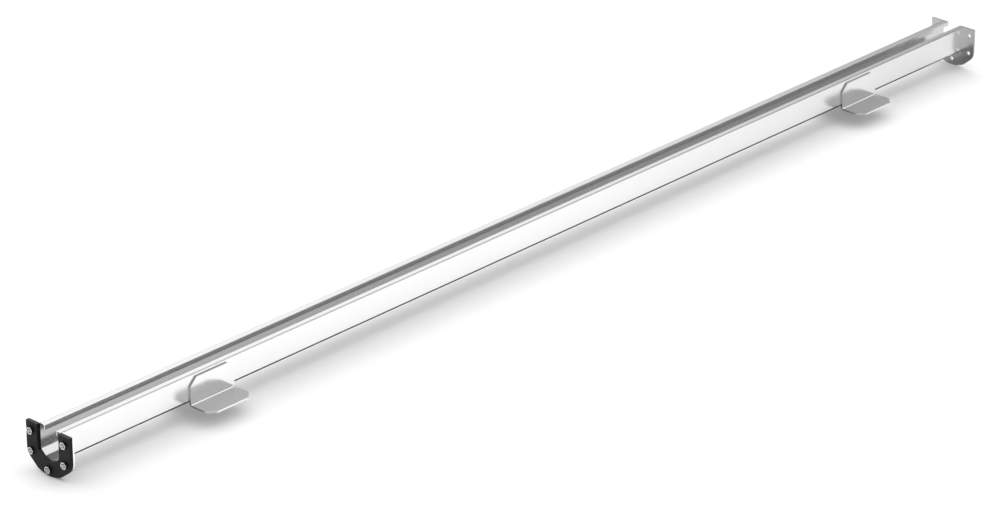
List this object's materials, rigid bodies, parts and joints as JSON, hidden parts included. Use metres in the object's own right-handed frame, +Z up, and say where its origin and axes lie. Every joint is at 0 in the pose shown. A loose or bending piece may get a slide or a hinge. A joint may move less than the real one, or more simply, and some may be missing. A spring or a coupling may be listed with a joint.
{
  "type": "slot channel section",
  "caption": "Folded stainless slot channel with an open slot along its top, a keeled floor, bolting flanges at both ends, a bolted rubber flange gasket and anchor brackets on its walls",
  "frame": {"origin": "middle of the part in plan, on the floor under the lowest edge of the two flanges", "axes": "X along the channel from the gasketed near end to the bare far end, Y across it, Z up through the open slot"},
  "size_m": [2.01, 0.1308, 0.0715],
  "materials": {
    "channel_sheet": "satin stainless sheet",
    "flange_plate": "satin stainless plate",
    "bracket_sheet": "satin stainless sheet",
    "gasket_rubber": "matt black rubber",
    "fastener_steel": "bright stainless"
  },
  "bodies": {
    "root": {"channel_body": "channel_sheet", "near_end_flange": "flange_plate", "far_end_flange": "flange_plate", "flange_gasket": "gasket_rubber", "anchor_bracket_near_right": "bracket_sheet", "anchor_bracket_near_left": "bracket_sheet", "anchor_bracket_far_right": "bracket_sheet", "anchor_bracket_far_left": "bracket_sheet", "flange_bolt_1": "fastener_steel", "flange_bolt_2": "fastener_steel", "flange_bolt_3": "fastener_steel", "flange_bolt_4": "fastener_steel", "flange_bolt_5": "fastener_steel", "flange_nut_1": "fastener_steel", "flange_nut_2": "fastener_steel", "flange_nut_3": "fastener_steel", "flange_nut_4": "fastener_steel", "flange_nut_5": "fastener_steel"}
  },
  "joints": []
}
